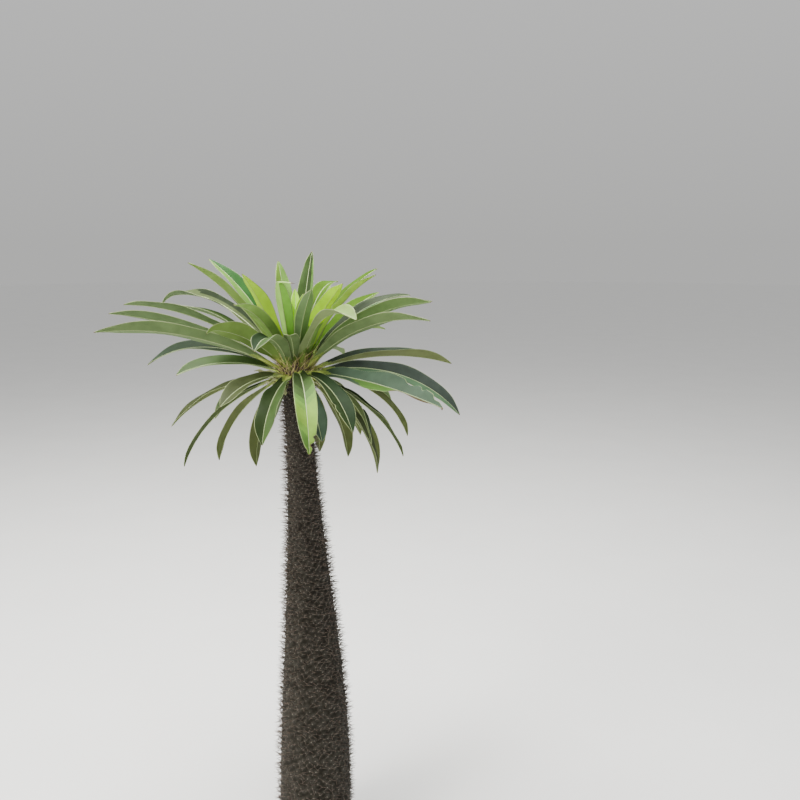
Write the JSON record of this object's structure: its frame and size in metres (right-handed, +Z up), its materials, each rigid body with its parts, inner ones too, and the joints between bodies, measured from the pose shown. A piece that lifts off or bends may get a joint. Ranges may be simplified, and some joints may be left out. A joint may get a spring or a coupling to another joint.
{
  "type": "madagascar palm plant",
  "caption": "Young unbranched madagascar palm: a swollen spiny succulent trunk that tapers to a crown of long strap-shaped leaves, rooted in the ground",
  "frame": {"origin": "centre of the flat cut under the trunk at ground level", "axes": "+Z up along the trunk, +X to the plant's right as it was seen, +Y away from the viewer"},
  "size_m": [0.783, 0.6076, 1.4268],
  "materials": {
    "bark": "matt, tubercled and spiny",
    "leaf": "leathery, slightly glossy",
    "young_leaf": "leathery, slightly glossy"
  },
  "bodies": {
    "root": {"hanging_leaf_01": "leaf", "hanging_leaf_02": "leaf", "hanging_leaf_03": "leaf", "hanging_leaf_04": "leaf", "hanging_leaf_05": "leaf", "hanging_leaf_06": "leaf", "hanging_leaf_07": "leaf", "hanging_leaf_08": "leaf", "spiral_leaf_00": "leaf", "spiral_leaf_21": "leaf", "spiral_leaf_26": "leaf", "spiral_leaf_34": "leaf", "spiral_leaf_42": "leaf", "spiral_leaf_58": "leaf", "spiral_leaf_60": "leaf", "spiral_leaf_63": "leaf", "spiral_leaf_68": "leaf", "spiral_leaf_74": "leaf", "spiral_leaf_76": "leaf", "spiral_leaf_78": "leaf", "spiral_leaf_81": "leaf", "spiral_leaf_86": "leaf", "spiral_leaf_87": "leaf", "spiral_leaf_89": "leaf", "spiral_leaf_91": "leaf", "spiral_leaf_92": "leaf", "spiral_leaf_94": "leaf", "spreading_leaf_01": "leaf", "spreading_leaf_02": "leaf", "spreading_leaf_03": "leaf", "spreading_leaf_04": "leaf", "spreading_leaf_05": "leaf", "spreading_leaf_06": "leaf", "spreading_leaf_07": "leaf", "spreading_leaf_08": "leaf", "spreading_leaf_09": "leaf", "spreading_leaf_10": "leaf", "spreading_leaf_11": "leaf", "spreading_leaf_12": "leaf", "spreading_leaf_13": "leaf", "spreading_leaf_14": "leaf", "spreading_leaf_15": "leaf", "spreading_leaf_16": "leaf", "spreading_leaf_17": "leaf", "spreading_leaf_18": "leaf", "spreading_leaf_19": "leaf", "trunk": "bark", "upright_leaf_01": "leaf", "upright_leaf_02": "leaf", "upright_leaf_03": "leaf", "upright_leaf_04": "leaf", "upright_leaf_05": "leaf", "upright_leaf_06": "leaf", "upright_leaf_07": "leaf", "upright_leaf_08": "leaf", "upright_leaf_09": "leaf", "upright_leaf_10": "leaf", "upright_leaf_11": "leaf", "upright_leaf_12": "leaf", "young_leaf_tuft": "young_leaf"}
  },
  "joints": []
}
